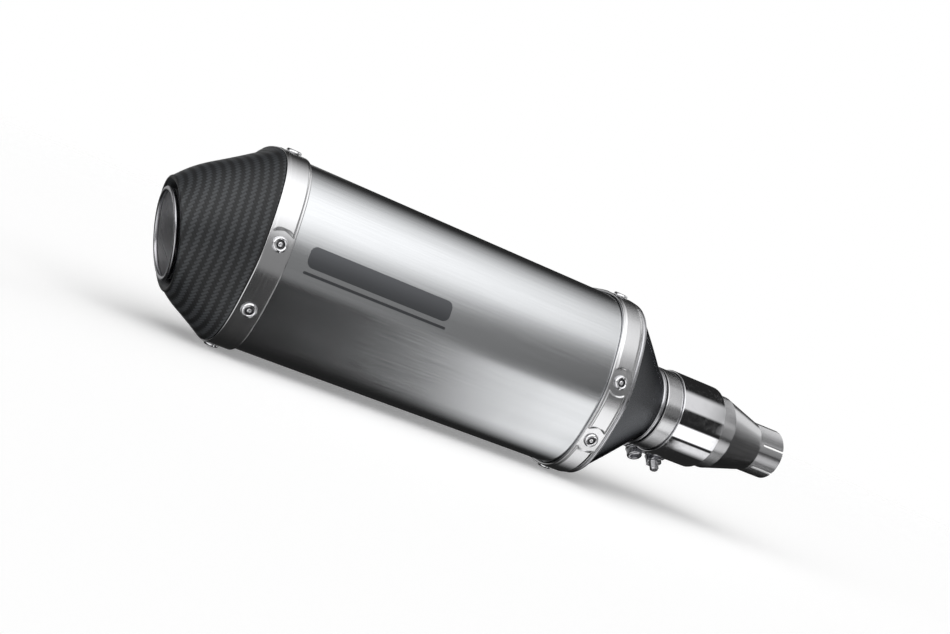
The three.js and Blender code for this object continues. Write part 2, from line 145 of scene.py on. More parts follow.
def loft(name, rings, sharp=38):
    """Closed mesh through rings (in mm) that share one angle list; UVs are arc lengths in metres."""
    rings = np.array(rings, float) * MM
    n, m, _ = rings.shape
    j = np.arange(n)[:, None]
    i = np.arange(m)[None, :]
    k, s = (j + 1) % n, (i + 1) % m
    faces = np.stack([j * m + i, j * m + s, k * m + s, k * m + i], -1).reshape(-1, 4)
    loop = np.concatenate([rings, rings[:, :1]], 1)
    steps = np.linalg.norm(np.diff(loop, axis=1), axis=2)
    u = np.concatenate([np.zeros((n, 1)), np.cumsum(steps, 1)], 1)
    u -= u[:, m // 2][:, None]
    down = np.concatenate([rings, rings[:1]], 0)
    v = np.concatenate([np.zeros((1, m)), np.cumsum(np.linalg.norm(np.diff(down, axis=0), axis=2), 0)], 0)
    v = np.concatenate([v, v[:, :1]], 1)
    u = np.concatenate([u, u[:1]], 0)
    flow = np.stack([
        np.stack([u[j, i], v[j, i]], -1),
        np.stack([u[j, i + 1], v[j, i + 1]], -1),
        np.stack([u[j + 1, i + 1], v[j + 1, i + 1]], -1),
        np.stack([u[j + 1, i], v[j + 1, i]], -1),
    ], 2).reshape(-1, 4, 2)
    points = rings.reshape(-1, 3)
    p = points[faces]
    volume = np.einsum("ij,ij->i", p[:, 0], np.cross(p[:, 1], p[:, 2])).sum()
    volume += np.einsum("ij,ij->i", p[:, 0], np.cross(p[:, 2], p[:, 3])).sum()
    if volume < 0:
        faces = faces[:, ::-1]
        flow = flow[:, ::-1]
    return finish_mesh(name, points, faces.tolist(), flow.reshape(-1, 2), sharp)


def spin(name, profile, count=40, sharp=38):
    """Solid of revolution about local Z from [radius, height] pairs in mm, first and last on the axis.
    A radius may be a function of the angle."""
    theta = angles(count)
    points, rows = [], []
    for radius, height in profile:
        if not callable(radius) and radius == 0:
            rows.append([len(points)] * count)
            points.append((0, 0, height * MM))
            continue
        r = radius(theta) if callable(radius) else np.full(count, float(radius))
        h = height(theta) if callable(height) else np.full(count, float(height))
        rows.append(list(range(len(points), len(points) + count)))
        points += [(a * math.cos(t) * MM, a * math.sin(t) * MM, b * MM) for a, b, t in zip(r, h, theta)]
    faces, flow = [], []
    for j in range(len(rows) - 1):
        for i in range(count):
            s = (i + 1) % count
            face = [rows[j][i], rows[j][s], rows[j + 1][s], rows[j + 1][i]]
            face = [f for k, f in enumerate(face) if f not in face[:k]]
            if len(face) > 2:
                faces.append(face[::-1])
                flow += [(points[f][0], points[f][2] + points[f][1] * 0.3) for f in face[::-1]]
    return finish_mesh(name, points, faces, flow, sharp)


def placed(mesh, origin_mm, axis, spin_deg=0.0):
    """Moves a mesh built about local Z to a point and direction of the row frame."""
    turn = Vector(axis).to_track_quat("Z", "Y").to_matrix().to_4x4()
    spun = Matrix.Rotation(math.radians(spin_deg), 4, "Z")
    mesh.transform(Matrix.Translation(Vector(origin_mm) * MM) @ turn @ spun)
    return mesh


def piece(mesh, body, slot, material, *nodes):
    """Puts a mesh in the scene as a visual piece that rides a body and stands in for CAD nodes."""
    obj = bpy.data.objects.new(mesh.name, mesh)
    bpy.context.scene.collection.objects.link(obj)
    for one in (material if isinstance(material, list) else [material]):
        mesh.materials.append(one)
    weighted = obj.modifiers.new("weighted", "WEIGHTED_NORMAL")
    weighted.keep_sharp = True
    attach(obj, body)
    if nodes:
        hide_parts(*nodes)
    return obj


def carve(mesh, cutters):
    """Subtracts cutter meshes from a mesh and returns the result under the same name."""
    scene = bpy.context.scene
    name = mesh.name
    mesh.name = "uncut"
    obj = bpy.data.objects.new("work", mesh)
    scene.collection.objects.link(obj)
    tools = []
    for cutter in cutters:
        tool = bpy.data.objects.new("tool", cutter)
        scene.collection.objects.link(tool)
        tools.append(tool)
        change = obj.modifiers.new("cut", "BOOLEAN")
        change.operation = "DIFFERENCE"
        change.solver = "EXACT"
        change.object = tool
    bpy.context.view_layer.update()
    result = bpy.data.meshes.new_from_object(obj.evaluated_get(bpy.context.evaluated_depsgraph_get()))
    result.name = name
    for done in (*tools, obj):
        data = done.data
        bpy.data.objects.remove(done)
        bpy.data.meshes.remove(data)
    result.set_sharp_from_angle(angle=math.radians(32))
    return result


# ---------------------------------------------------------------- materials
class Nodes:
    """Small helper around the node tree of one material, or of the world."""

    def __init__(self, name, world=False):
        self.material = (bpy.data.worlds if world else bpy.data.materials).new(name)
        self.material.use_nodes = True
        self.tree = self.material.node_tree
        self.shader = self.tree.nodes["Background" if world else "Principled BSDF"]

    def add(self, kind, **settings):
        node = self.tree.nodes.new(kind)
        for key, value in settings.items():
            setattr(node, key, value)
        return node

    def link(self, source, target):
        self.tree.links.new(source, target)

    def put(self, socket, value):
        if isinstance(value, bpy.types.NodeSocket):
            self.link(value, socket)
        else:
            socket.default_value = value

    def math(self, operation, a, b=None, c=None):
        node = self.add("ShaderNodeMath", operation=operation)
        for socket, value in zip(node.inputs, (a, b, c)):
            if value is not None:
                self.put(socket, value)
        return node.outputs[0]

    def flow(self):
        return self.add("ShaderNodeUVMap", uv_map="flow").outputs[0]

    def place(self):
        return self.add("ShaderNodeTexCoord").outputs["Object"]

    def split(self, vector):
        node = self.add("ShaderNodeSeparateXYZ")
        self.link(vector, node.inputs[0])
        return node.outputs

    def stretch(self, vector, scale, turn=0.0):
        node = self.add("ShaderNodeMapping")
        self.link(vector, node.inputs["Vector"])
        node.inputs["Scale"].default_value = scale
        node.inputs["Rotation"].default_value = (0, 0, math.radians(turn))
        return node.outputs[0]

    def noise(self, vector, scale, detail=3.0, rough=0.5):
        node = self.add("ShaderNodeTexNoise")
        self.link(vector, node.inputs["Vector"])
        node.inputs["Scale"].default_value = scale
        node.inputs["Detail"].default_value = detail
        node.inputs["Roughness"].default_value = rough
        return node.outputs["Fac"]

    def remap(self, value, low, high, new_low, new_high):
        node = self.add("ShaderNodeMapRange")
        self.link(value, node.inputs[0])
        for socket, number in zip(node.inputs[1:5], (low, high, new_low, new_high)):
            socket.default_value = number
        return node.outputs[0]

    def rise(self, value, low, high):
        """0 below low, 1 above high, with a soft change between."""
        node = self.add("ShaderNodeMapRange", interpolation_type="SMOOTHSTEP")
        self.link(value, node.inputs[0])
        node.inputs[1].default_value, node.inputs[2].default_value = low, high
        return node.outputs[0]

    def product(self, *values):
        result = values[0]
        for value in values[1:]:
            result = self.math("MULTIPLY", result, value)
        return result

    def total(self, *values):
        result = values[0]
        for value in values[1:]:
            result = self.math("ADD", result, value)
        return result

    def fall(self, value, low, high):
        return self.math("SUBTRACT", 1.0, self.rise(value, low, high))

    def mix(self, share, first, second):
        node = self.add("ShaderNodeMix", data_type="RGBA")
        self.put(node.inputs[0], share)
        self.put(node.inputs[6], (*first, 1) if isinstance(first, tuple) else first)
        self.put(node.inputs[7], (*second, 1) if isinstance(second, tuple) else second)
        return node.outputs[2]

    def bump(self, height, distance, strength=1.0):
        node = self.add("ShaderNodeBump")
        node.inputs["Strength"].default_value = strength
        node.inputs["Distance"].default_value = distance
        self.link(height, node.inputs["Height"])
        self.link(node.outputs[0], self.shader.inputs["Normal"])

    def set(self, **values):
        names = {"color": "Base Color", "metal": "Metallic", "rough": "Roughness",
                 "coat": "Coat Weight", "coat_rough": "Coat Roughness",
                 "specular": "Specular IOR Level", "sheen": "Sheen Weight"}
        for key, value in values.items():
            socket = self.shader.inputs[names[key]]
            if isinstance(value, tuple) and len(value) == 3:
                value = (*value, 1)
            self.put(socket, value)


def brushed(name, color, rough, along, wear=0.05, streak=0.03):
    """Metal with fine brushing; along is the UV axis the grain runs on (0 around, 1 lengthwise)."""
    n = Nodes(name)
    flow = n.flow()

    def grain(across, length, detail):
        size = (length, across, 1.0) if along == 0 else (across, length, 1.0)
        return n.noise(n.stretch(flow, size), 1.0, detail, 0.65)

    fine = grain(3600.0, 45.0, 2.0)
    medium = grain(1150.0, 14.0, 3.0)
    broad = grain(150.0, 3.0, 2.0)
    smudge = n.noise(n.place(), 16.0, 3.0)
    shade = n.total(n.remap(fine, 0.25, 0.75, -0.5 * wear, 0.5 * wear),
                    n.remap(medium, 0.25, 0.75, -0.6 * wear, 0.6 * wear),
                    n.remap(broad, 0.25, 0.75, -0.35 * wear, 0.35 * wear), 1.0)
    tone = n.add("ShaderNodeVectorMath", operation="SCALE")
    tone.inputs[0].default_value = color
    n.link(shade, tone.inputs["Scale"])
    rough_value = n.total(n.remap(medium, 0.25, 0.75, rough - streak, rough + streak),
                          n.remap(fine, 0.25, 0.75, -streak, streak),
                          n.remap(smudge, 0.35, 0.7, -0.01, 0.02))
    n.set(color=tone.outputs[0], metal=1.0, rough=rough_value)
    n.bump(n.math("ADD", n.math("MULTIPLY", fine, 0.5), medium), 0.0000035)
    return n


def satin(name, color, rough, spread=0.05, depth=0.00001, scale=900.0):
    """Bead-blasted or rolled metal."""
    n = Nodes(name)
    place = n.place()
    speck = n.noise(place, scale, 2.0)
    smudge = n.noise(place, 22.0, 4.0)
    n.set(color=n.mix(n.remap(smudge, 0.35, 0.7, 0.0, 1.0), tuple(c * 0.93 for c in color), color),
          metal=1.0, rough=n.math("ADD", n.remap(smudge, 0.3, 0.7, rough - spread, rough + spread),
                                  n.remap(speck, 0.3, 0.7, -0.02, 0.02)))
    n.bump(speck, depth)
    return n


def carbon_cloth(name, tow, turn, coat):
    """2x2 twill laminate under a satin coat, on the flow UVs, its tows turned by an angle in degrees; one tow
    direction carries a painted sheen and the tow edges carry painted shade.
    """
    n = Nodes(name)
    cloth = n.stretch(n.flow(), (1 / tow, 1 / tow, 1), turn)
    wander = n.add("ShaderNodeTexNoise")
    n.link(n.place(), wander.inputs["Vector"])
    wander.inputs["Scale"].default_value = 28.0
    wander.inputs["Detail"].default_value = 2.0
    drift = n.add("ShaderNodeVectorMath", operation="MULTIPLY_ADD")
    n.link(wander.outputs["Color"], drift.inputs[0])
    drift.inputs[1].default_value = (0.9, 0.9, 0.0)
    n.link(cloth, drift.inputs[2])
    x, y, _ = n.split(drift.outputs[0])
    phase = n.math("FLOORED_MODULO", n.math("ADD", n.math("FLOOR", x), n.math("FLOOR", y)), 4.0)
    warp = n.math("LESS_THAN", phase, 1.5)
    across_x = n.math("SUBTRACT", n.math("FRACT", x), 0.5)
    across_y = n.math("SUBTRACT", n.math("FRACT", y), 0.5)
    crown_x = n.math("SUBTRACT", 1.0, n.product(across_x, across_x, 4.0))
    crown_y = n.math("SUBTRACT", 1.0, n.product(across_y, across_y, 4.0))
    crown = n.mix(warp, crown_y, crown_x)
    fibre_x = n.noise(n.stretch(cloth, (14.0, 0.6, 1.0)), 1.0, 2.0)
    fibre_y = n.noise(n.stretch(cloth, (0.6, 14.0, 1.0)), 1.0, 2.0)
    fibre = n.mix(warp, fibre_y, fibre_x)
    # One tow direction is painted lighter than the other: a painted sheen, not a different fibre colour.
    light = n.mix(warp, (0.0105, 0.0114, 0.0128), (0.040, 0.0435, 0.048))
    cloudy = n.remap(n.noise(n.place(), 24.0, 3.0), 0.3, 0.7, 0.8, 1.2)
    # The crown term darkens each tow towards its edges: painted shade between the tows. Fibre and cloudy are
    # the cloth's own random tone.
    shade = n.product(n.remap(crown, 0.0, 1.0, 0.35, 1.0), n.remap(fibre, 0.3, 0.7, 0.7, 1.3), cloudy)
    tone = n.add("ShaderNodeVectorMath", operation="SCALE")
    n.link(light, tone.inputs[0])
    n.link(shade, tone.inputs["Scale"])
    n.set(color=tone.outputs[0], metal=0.0, rough=n.mix(warp, (0.62, 0.62, 0.62), (0.5, 0.5, 0.5)),
          coat=coat, coat_rough=0.32, specular=0.35)
    n.bump(crown, 0.00008, 0.5)
    return n


MARK_X, MARK_UP = -0.3200, 0.0070


def marked_titanium(n):
    """Adds a plain dark etched mark, a rounded bar over one thin line, to a brushed metal."""
    around_body, _, _ = n.split(n.flow())
    lengthwise, _, _ = n.split(n.place())
    up = n.math("SUBTRACT", around_body, MARK_UP)
    along = n.math("SUBTRACT", lengthwise, MARK_X)

    def bar(middle, height, left, right, corner):
        """Soft mask of a rounded bar; sizes in metres."""
        centre, half = (left + right) / 2, (right - left) / 2
        dx = n.math("SUBTRACT", n.math("ABSOLUTE", n.math("SUBTRACT", along, centre)), half - corner)
        dy = n.math("SUBTRACT", n.math("ABSOLUTE", n.math("SUBTRACT", up, middle)), height / 2 - corner)
        outside = n.math("SQRT", n.total(n.math("POWER", n.math("MAXIMUM", dx, 0.0), 2.0),
                                         n.math("POWER", n.math("MAXIMUM", dy, 0.0), 2.0)))
        inside = n.math("MINIMUM", n.math("MAXIMUM", dx, dy), 0.0)
        return n.fall(n.total(outside, inside), corner - 0.00012, corner + 0.00012)

    plate = bar(0.0030, 0.0120, -0.045, 0.045, 0.0040)
    line = bar(-0.0064, 0.0016, -0.045, 0.045, 0.0008)
    mark = n.math("MAXIMUM", plate, line)
    old = n.shader.inputs["Base Color"].links[0].from_socket
    n.set(color=n.mix(mark, old, (0.15, 0.155, 0.165)))
    rough = n.shader.inputs["Roughness"].links[0].from_socket
    n.set(rough=n.total(rough, n.math("MULTIPLY", mark, 0.14)))
    return n


TITANIUM = marked_titanium(brushed("titanium_brushed", (0.596, 0.606, 0.619), 0.185, 1, 0.08, 0.016))
BAND = brushed("band_satin", (0.70, 0.70, 0.71), 0.20, 0, 0.05, 0.02)
RIVET = satin("rivet_bright", (0.84, 0.84, 0.86), 0.10)
CARBON = carbon_cloth("carbon_twill", 0.00185, -48.0, 0.26)
CONE = satin("cone_dark_satin", (0.225, 0.23, 0.24), 0.28, 0.03, 0.000004, 1400.0)
CONE.shader.inputs["Specular Tint"].default_value = (0.08, 0.08, 0.08, 1)
HEM = satin("cone_hem_bright", (0.55, 0.55, 0.57), 0.20)
COLLAR = brushed("collar_brushed", (0.60, 0.60, 0.61), 0.20, 0, 0.05, 0.02)
CHROME = satin("clamp_polished", (0.86, 0.86, 0.88), 0.05, 0.02, 0.000001, 300.0)
FASTENER = satin("fastener_zinc", (0.62, 0.62, 0.64), 0.13, 0.04, 0.000006, 1200.0)
REDUCER = brushed("reducer_satin", (0.56, 0.56, 0.57), 0.20, 1, 0.06, 0.025)
TUBE = brushed("tube_satin", (0.80, 0.80, 0.81), 0.30, 0, 0.06, 0.03)
LIP = satin("lip_bright", (0.50, 0.50, 0.52), 0.22)
# Dark spring steel for the circlip; the same material is also painted shade in the rivet heads' grooves.
DARK_STEEL_AND_RIVET_SHADE = satin("spring_steel_and_rivet_shade", (0.12, 0.12, 0.125), 0.32)

# ---------------------------------------------------------------- body
T = angles(288)
sleeve = [body_ring(x, offset, T) for x, offset in (
    (-390.3, -1.95), (-390.15, -1.8), (-330, -1.8), (-270, -1.8), (-210, -1.8), (-148.45, -1.8),
    (-148.3, -1.95), (-148.3, -2.55), (-148.45, -2.7), (-270, -2.7), (-390.15, -2.7), (-390.3, -2.55))]
piece(loft("sleeve", sleeve), "silencer", "titanium", TITANIUM.material, "titanium_sleeve")


def band_mesh(name, start, plain=None):
    """Riveted band, with raised panels between its rivets except over the plain range of degrees."""
    theta = angles(900)
    raised = np.ones(theta.shape)
    if plain:
        raised = 1 - (theta > math.radians(plain[0])) * (theta < math.radians(plain[1]))
    end = start + BAND_WIDTH
    middle = (start + end) / 2
    stations = [0.0, 0.25, 0.6, 1.3, 1.7, 2.0, 2.3, 2.7, 3.2, 4.2, 5.5, 7.0]
    stations += [BAND_WIDTH - s for s in stations[::-1]]
    lift = {0.0: -0.25, 0.25: -0.02, BAND_WIDTH: -0.25, BAND_WIDTH - 0.25: -0.02}
    rings = []
    for s in stations:
        edge = smooth(min(s, BAND_WIDTH - s), 1.5, 2.3)
        height = np.full(theta.shape, 1.0)
        for degrees in RIVET_ANGLES:
            turn = theta - math.radians(degrees)
            arc = np.arctan2(np.sin(turn), np.cos(turn)) * section(theta)
            reach = np.sqrt(arc ** 2 + (s + start - middle) ** 2)
            height = np.minimum(height, smooth(reach, 8.0, 8.9))
        rings.append(body_ring(start + s, EMBOSS * edge * height * raised + lift.get(s, 0.0), theta))
    rings.append(body_ring(end, -1.35, theta))
    rings.append(body_ring(end - 0.15, -1.5, theta))
    rings.append(body_ring(start + 0.15, -1.5, theta))
    rings.append(body_ring(start, -1.35, theta))
    return loft(name, rings, sharp=50)


piece(band_mesh("band_rear", REAR_BAND, (-88, 12)), "silencer", "band_steel", BAND.material, "rear_band")
piece(band_mesh("band_front", FRONT_BAND), "silencer", "band_steel", BAND.material, "front_band")

RIVET_PROFILE = [
    (0, 0.75), (0.32, 0.78), (0.45, 1.2), (0.55, 1.34), (0.8, 1.4), (1.15, 1.3), (1.38, 1.05), (1.5, 0.6),
    (1.62, 0.36), (1.95, 0.3), (2.3, 0.36), (2.42, 0.8), (2.5, 1.2), (2.7, 1.5), (3.05, 1.7), (3.4, 1.76),
    (3.75, 1.66), (4.1, 1.38), (4.34, 0.98), (4.47, 0.55), (4.42, 0.32), (4.1, 0.26), (1.9, 0.26),
    (1.9, -5.0), (2.5, -5.4), (2.6, -5.9), (2.4, -6.8), (1.4, -7.15), (0, -7.2),
]
for prefix, start in (("rear_rivet", REAR_BAND), ("front_rivet", FRONT_BAND)):
    for k, degrees in enumerate(RIVET_ANGLES):
        theta = math.radians(degrees)
        seat = body_ring(start + BAND_WIDTH / 2, 0, np.array([theta]))[0]
        mesh = placed(spin(f"{prefix}_head_{k + 1}", RIVET_PROFILE, 40), seat, section_normal(theta))
        piece(mesh, "silencer", "rivet_steel", [RIVET.material, DARK_STEEL_AND_RIVET_SHADE.material], f"{prefix}_{k + 1}")
        axis = section_normal(theta)
        # Faces in the ring groove round each rivet's pin take the dark material: painted shade in the recess.
        for face in mesh.polygons:
            centre = face.center / MM - Vector(seat)
            height = centre.dot(Vector(axis))
            reach = math.sqrt(max(centre.length_squared - height ** 2, 0.0))
            if height > 0 and 1.45 < reach < 2.46:
                face.material_index = 1

# ---------------------------------------------------------------- front cone, ring, collar
T = angles(240)
base = body_ring(-144.8, -1.9, T)
neck = around(-110, 25.0, T)
inner_base = body_ring(-147.0, -4.5, T)
inner_neck = around(-111.5, 23.0, T)
rings = [body_ring(x, offset, T) for x, offset in (
    (-162.85, -3.0), (-147.7, -3.0), (-147.7, -1.1), (-147.55, -0.7), (-147.2, -0.42), (-146.7, -0.4),
    (-145.8, -0.4), (-145.3, -0.48), (-144.95, -0.75), (-144.8, -1.15), (-144.75, -1.6))]
hem_rows = range(1, len(rings))
rings.append(base)
for share in np.linspace(0.06, 0.94, 14):
    rings.append(push(base * (1 - share) + neck * share, 0.5 * math.sin(PI * share), T))
rings += [neck, around(-109.75, 24.75, T), around(-109.6, 24.5, T), around(-98.2, 24.5, T),
          around(-98, 24.3, T), around(-98, 23.2, T), around(-98.2, 23.0, T), inner_neck]
for share in (0.75, 0.5, 0.25):
    rings.append(inner_base * (1 - share) + inner_neck * share)
rings += [inner_base, body_ring(-162.85, -4.5, T), body_ring(-163, -4.35, T), body_ring(-163, -3.15, T)]
mesh = loft("cone", rings)
piece(mesh, "silencer", "dark_metal", [CONE.material, HEM.material], "front_cone")
count = len(T)
for face in mesh.polygons:
    if face.index // count in hem_rows:
        face.material_index = 1

T = angles(160)
rings = [around(x, r, T) for x, r in (
    (-109.2, 24.8), (-106.5, 24.8), (-106.5, 25.1), (-106.62, 25.4), (-106.95, 25.62), (-107.4, 25.7),
    (-108.3, 25.7), (-108.75, 25.62), (-109.08, 25.4), (-109.2, 25.1))]
piece(loft("weld_ring", rings), "silencer", "collar_steel", HEM.material, "neck_ring")


def slot_cutter(x_end, width, radius, degrees, depth=12.0, x_out=8.0):
    """Round-ended slot running from x_end to x_out, through a wall at radius."""
    theta = math.radians(degrees)
    half = width / 2
    outline = [(x_out, -half), (x_out, half)]
    outline += [(x_end + half - half * math.sin(a), half * math.cos(a)) for a in np.linspace(0, PI, 9)]
    outward = Vector((0, -math.cos(theta), math.sin(theta)))
    across = Vector((0, math.sin(theta), math.cos(theta)))
    points = []
    for reach in (radius - depth / 2, radius + depth / 2):
        for x, a in outline:
            points.append((Vector((x, 0, 0)) + outward * reach + across * a) * MM)
    n = len(outline)
    faces = [[i, (i + 1) % n, n + (i + 1) % n, n + i] for i in range(n)]
    faces += [list(range(n))[::-1], list(range(n, 2 * n))]
    mesh = bpy.data.meshes.new("slot")
    mesh.from_pydata(points, [], faces)
    mesh.uv_layers.new(name="flow")
    return face_outward(mesh)


rings = [around(x, r, T) for x, r in (
    (-105.6, 24.95), (-105.45, 24.8), (-62.15, 24.8), (-62, 24.95), (-62, 25.85), (-62.15, 26.0),
    (-104.9, 26.0), (-105.3, 25.92), (-105.52, 25.75), (-105.6, 25.5))]
mesh = carve(loft("collar", rings), [slot_cutter(-90, 2.2, 25.4, a, 8.0, -52) for a in (45, 135, 225, 315)])
piece(mesh, "silencer", "collar_steel", COLLAR.material, "inlet_stub")

# ---------------------------------------------------------------- reducer
T = angles(192)
profile = [(-0.15, 15.2), (0, 15.35), (0, 16.4), (-0.2, 16.6), (-10, 16.6), (-19.0, 16.6), (-19.5, 16.62),
           (-20.0, 16.72)]
profile += [(-19.7 - 29.3 * s, 16.6 + 7.9 * s) for s in np.linspace(0.06, 0.95, 8)]
profile += [(-48.6, 24.42), (-49.1, 24.5), (-60, 24.5), (-91.8, 24.5), (-92, 24.3), (-92, 23.3),
            (-91.8, 23.1), (-49, 23.1), (-34, 19.06), (-19.7, 15.2)]
mesh = loft("reducer", [around(x, r, T) for x, r in profile])
mesh = carve(mesh, [slot_cutter(-17, 1.6, 15.9, a, 6.0) for a in (20, 80, 140, 200, 260, 320)])
piece(mesh, "reducer", "reducer_steel", REDUCER.material, "reducer_adapter")

# ---------------------------------------------------------------- clamp
# Built with its gap toward local +Z, then turned about X into place.
CLAMP_TURN = Matrix.Rotation(math.radians(90 + 135), 4, "X")
CLAMP_REAR, CLAMP_FRONT = -93.6, -60.1
BOLT_X = (-86.8, -70.7)
BOLT_R = 33.0
EAR_TIP = 38.0
EAR_HALF_GAP = 3.5
STRAP_THICK = 1.1
STRAP_R = 26.3
BAR = 3.4
GAP = 0.3
BEND = math.radians(15)


def clamp_inner(angle):
    gap = min(angle, 2 * PI - angle)
    return STRAP_R + 0.9 * (1 - float(smooth(gap, math.radians(28), math.radians(34))))


def clamp_path():
    """Centre-line of the strap: up one ear, round the collar, out along the other ear."""
    half = STRAP_THICK / 2
    points = []
    first = [(EAR_HALF_GAP + half, z) for z in np.linspace(EAR_TIP, 30.5, 7)]
    turn = [(4.12, 29.7), (4.4, 28.9), (4.95, 28.2), (5.7, 27.65), (6.5, 27.2)]
    points += first + turn
    for angle in np.linspace(BEND + 0.02, 2 * PI - BEND - 0.02, 150):
        r = clamp_inner(angle) + half
        points.append((r * math.sin(angle), r * math.cos(angle)))
    points += [(-y, z) for y, z in turn[::-1]] + [(-y, z) for y, z in first[::-1]]
    return np.array(points)


def strap_mesh(name, path, thick, start, end, round_r=0.25):
    """A strip of even thickness along a path in (Y, Z), from start to end along X, edges rounded."""
    tangent = np.gradient(path, axis=0)
    tangent /= np.linalg.norm(tangent, axis=1)[:, None]
    normal = np.stack([tangent[:, 1], -tangent[:, 0]], -1)
    half, r = thick / 2, round_r
    arcs = [(a, 1 - math.cos(a), 1 - math.sin(a)) for a in np.linspace(0, PI / 2, 4)]
    loop = []
    for side, edge in ((1, 1), (-1, 1), (-1, -1), (1, -1)):
        steps = arcs if side * edge < 0 else arcs[::-1]
        for _, in_x, in_n in steps:
            x = (end - r * in_x) if edge > 0 else (start + r * in_x)
            loop.append((x, side * (half - r * in_n)))
    rows = [np.array([[x, *(p + nrm * d)] for x, d in loop]) for p, nrm in zip(path, normal)]
    m = len(loop)
    points = np.concatenate(rows) * MM
    faces, flow = [], []
    length = np.concatenate([[0], np.cumsum(np.linalg.norm(np.diff(path, axis=0), axis=1))]) * MM
    for j in range(len(rows) - 1):
        for i in range(m):
            s = (i + 1) % m
            faces.append([j * m + i, j * m + s, (j + 1) * m + s, (j + 1) * m + i])
            flow += [(length[j], loop[i][0] * MM), (length[j], loop[s][0] * MM),
                     (length[j + 1], loop[s][0] * MM), (length[j + 1], loop[i][0] * MM)]
    last = (len(rows) - 1) * m
    faces += [list(range(m)), [last + i for i in range(m)][::-1]]
    flow += [(0.0, x * MM) for x, _ in loop]
    flow += [(length[-1], x * MM) for x, _ in loop[::-1]]
    return face_outward(finish_mesh(name, points, faces, flow, 40))


def rod(centre, direction, radius, length, sides=32):
    half = length / 2
    profile = [(0, half), (radius, half), (radius, -half), (0, -half)]
    return placed(spin("rod", profile, sides), centre, direction)


def clamp_holes():
    """Cutters for the two bolts."""
    return [rod((x, 0, BOLT_R), (0, 1, 0), 3.4, 60) for x in BOLT_X]


strap = strap_mesh("clamp_strap", clamp_path(), STRAP_THICK, CLAMP_REAR, CLAMP_FRONT, 0.4)
strap = carve(strap, clamp_holes())
strap.transform(CLAMP_TURN)
piece(strap, "clamp", "polished_steel", CHROME.material, "clamp_band")

half = math.radians(23)
tongue_path = np.array([(26.6 * math.sin(a), 26.6 * math.cos(a)) for a in np.linspace(-half, half, 24)])
tongue = strap_mesh("clamp_tongue_strip", tongue_path, 0.5, CLAMP_REAR + 1, CLAMP_FRONT - 1, 0.1)
tongue.transform(CLAMP_TURN)
piece(tongue, "clamp", "polished_steel", CHROME.material, "clamp_tongue")


def bar_mesh(name, side):
    outline = []
    start = EAR_HALF_GAP + STRAP_THICK + GAP
    for y, z in [(start, -2.6), (start, 3.9), (start + 0.15, 4.0)]:
        outline.append((y, z))
    for a in np.linspace(0.2, PI - 0.2, 17):
        outline.append((start + 0.3 + min(BAR - 0.3, (BAR + 0.2) * math.sin(a)), 4.0 * math.cos(a)))
    outline.append((start + 0.6, -3.5))
    outline = np.array(outline)
    centre = outline.mean(0)
    rows = []
    for x, grow in ((CLAMP_REAR + 0.6, 0.90), (CLAMP_REAR + 0.75, 0.95), (CLAMP_REAR + 1.1, 0.985),
                    (CLAMP_REAR + 1.6, 1.0), (CLAMP_FRONT - 1.6, 1.0), (CLAMP_FRONT - 1.1, 0.985),
                    (CLAMP_FRONT - 0.75, 0.95), (CLAMP_FRONT - 0.6, 0.90)):
        ring = centre + (outline - centre) * grow
        rows.append([(x * MM, side * y * MM, (z + BOLT_R) * MM) for y, z in ring])
    m = len(outline)
    points = [p for row in rows for p in row]
    faces = [[j * m + i, j * m + (i + 1) % m, (j + 1) * m + (i + 1) % m, (j + 1) * m + i]
             for j in range(len(rows) - 1) for i in range(m)]
    faces += [list(range(m)), [(len(rows) - 1) * m + i for i in range(m)][::-1]]
    flow = [(points[k][0], points[k][2]) for face in faces for k in face]
    mesh = face_outward(finish_mesh(name, points, faces, flow, 35))
    return carve(mesh, clamp_holes())


for name, side in (("near", 1), ("far", -1)):
    bar = bar_mesh(f"clamp_half_round_{name}", side)
    bar.transform(CLAMP_TURN)
    piece(bar, "clamp", "fastener_steel", FASTENER.material, f"clamp_bar_{name}")

WASHER_FACE = EAR_HALF_GAP + STRAP_THICK + GAP + BAR + GAP
WASHER = 1.0
HEAD = WASHER_FACE + WASHER + GAP
NUT = 4.5
SHANK_END = -(HEAD + NUT + 5.6)


def hexagon(across):
    """Radius of a hexagon of a given size across flats, as a function of the angle."""
    def radius(theta):
        local = (theta + PI / 6) % (PI / 3) - PI / 6
        return across / 2 / np.cos(local)
    return radius


def chamfered(across, limit):
    shape = hexagon(across)
    return lambda theta: np.minimum(shape(theta), limit)


def ribbed(radius, depth, count):
    return lambda theta: radius - depth * (0.5 + 0.5 * np.cos(count * theta)) ** 2


def thread(radius, depth, pitch, height):
    """Radius of a screw thread at one height, as a function of the angle."""
    def value(theta):
        turn = (height / pitch - theta / (2 * PI)) % 1.0
        return radius - depth * np.abs(2 * turn - 1)
    return value


def bolt_profile():
    profile = [(0, HEAD + 2.2), (hexagon(4.9), HEAD + 2.2), (hexagon(5.0), HEAD + 4.75),
               (lambda t: hexagon(5.0)(t) + 0.25, HEAD + 5.0), (4.0, HEAD + 5.0), (4.5, HEAD + 4.85),
               (4.75, HEAD + 4.6), (ribbed(4.97, 0.28, 30), HEAD + 4.1), (ribbed(4.97, 0.28, 30), HEAD + 1.0),
               (4.8, HEAD + 0.5), (4.7, HEAD), (3.0, HEAD), (3.0, -8.0)]
    height = -8.0
    while height > SHANK_END + 0.9:
        height -= 0.125
        profile.append((thread(2.98, 0.42, 1.0, height), height))
    profile += [(2.45, SHANK_END + 0.4), (2.1, SHANK_END), (0, SHANK_END)]
    return profile


